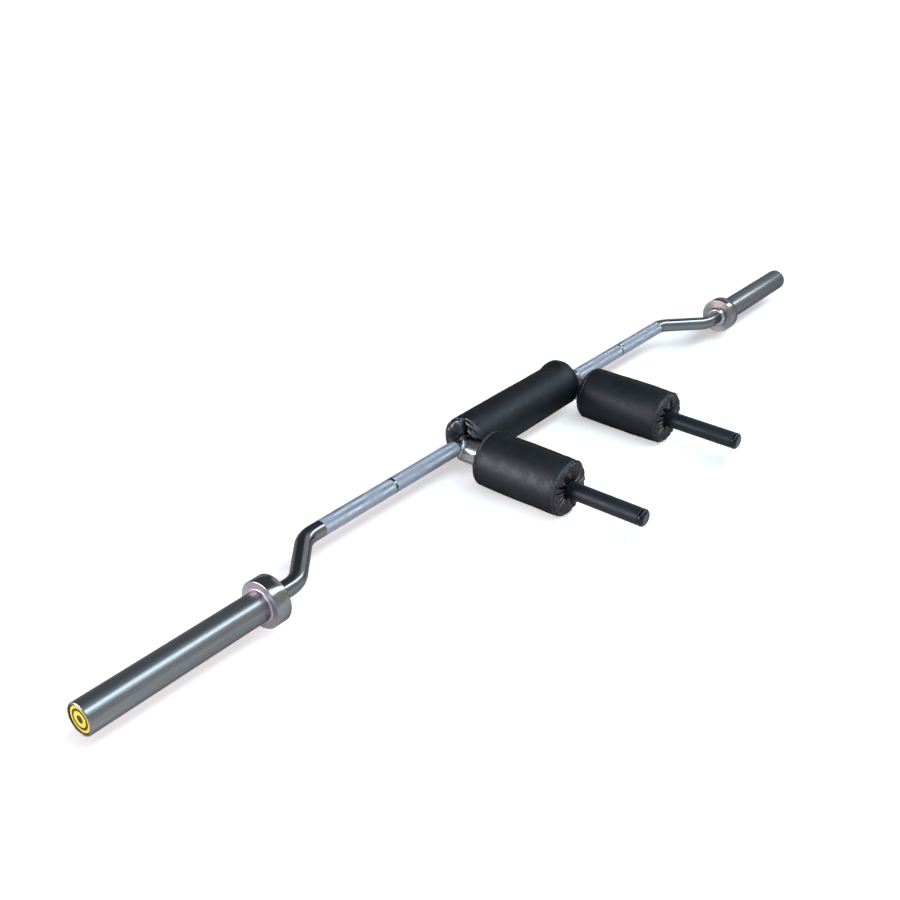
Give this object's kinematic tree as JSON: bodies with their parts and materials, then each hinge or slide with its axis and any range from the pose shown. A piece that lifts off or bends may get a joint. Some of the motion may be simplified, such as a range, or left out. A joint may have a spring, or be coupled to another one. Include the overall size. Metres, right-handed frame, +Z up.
{
  "type": "safety squat bar",
  "caption": "Cambered squat bar with padded shoulder arms, a neck pad, front handles and spinning 50 mm sleeves with collars.",
  "frame": {"origin": "under the middle of the whole bar's box, on the surface that the shoulder pads rest on", "axes": "+X along the bar to the right sleeve, arms and handles along -Y, +Z up; left and right in names are as seen from in front of the handles, looking along +Y"},
  "size_m": [2.2, 0.4346, 0.1136],
  "materials": {
    "chrome_plate": "bright chrome plate, knurled on the grip zones",
    "sleeve_steel": "satin drawn tube",
    "collar_steel": "fine turned face, plated",
    "inner_steel": "plain zinc plate",
    "bronze": "oiled sintered bronze",
    "black_vinyl": "soft grained vinyl with a satin sheen",
    "pad_foam": "dense closed-cell foam",
    "hook_and_loop": "woven strip",
    "black_rubber": "matt grip rubber",
    "black_plastic": "moulded, fine texture",
    "yellow_plastic": "smooth"
  },
  "bodies": {
    "bar": {"bar_shaft": "chrome_plate", "neck_foam": "pad_foam", "neck_cover": "black_vinyl", "neck_closure": "hook_and_loop", "arm_tube_left": "chrome_plate", "weld_bead_left": "chrome_plate", "handle_socket_left": "inner_steel", "handle_tube_left": "inner_steel", "handle_grip_left": "black_rubber", "handle_cap_left": "black_plastic", "shoulder_foam_left": "pad_foam", "shoulder_cover_left": "black_vinyl", "arm_tube_right": "chrome_plate", "weld_bead_right": "chrome_plate", "handle_socket_right": "inner_steel", "handle_tube_right": "inner_steel", "handle_grip_right": "black_rubber", "handle_cap_right": "black_plastic", "shoulder_foam_right": "pad_foam", "shoulder_cover_right": "black_vinyl", "stop_collar_left": "chrome_plate", "thrust_washer_left": "bronze", "end_washer_left": "inner_steel", "snap_ring_left": "inner_steel", "stop_collar_right": "chrome_plate", "thrust_washer_right": "bronze", "end_washer_right": "inner_steel", "snap_ring_right": "inner_steel"},
    "left_sleeve": {"sleeve_tube_left": "sleeve_steel", "sleeve_collar_left": "collar_steel", "inner_bushing_left": "bronze", "outer_bushing_left": "bronze", "end_plug_left": "black_plastic", "end_disc_left": "yellow_plastic"},
    "right_sleeve": {"sleeve_tube_right": "sleeve_steel", "sleeve_collar_right": "collar_steel", "inner_bushing_right": "bronze", "outer_bushing_right": "bronze", "end_plug_right": "black_plastic", "end_disc_right": "yellow_plastic"}
  },
  "joints": [
    {"name": "left_sleeve_spin", "type": "hinge", "parent": "bar", "child": "left_sleeve", "pos_m": [-0.9, 0.1003, 0.0583], "axis": [1, 0, 0], "continuous": true},
    {"name": "right_sleeve_spin", "type": "hinge", "parent": "bar", "child": "right_sleeve", "pos_m": [0.9, 0.1003, 0.0583], "axis": [1, 0, 0], "continuous": true}
  ]
}
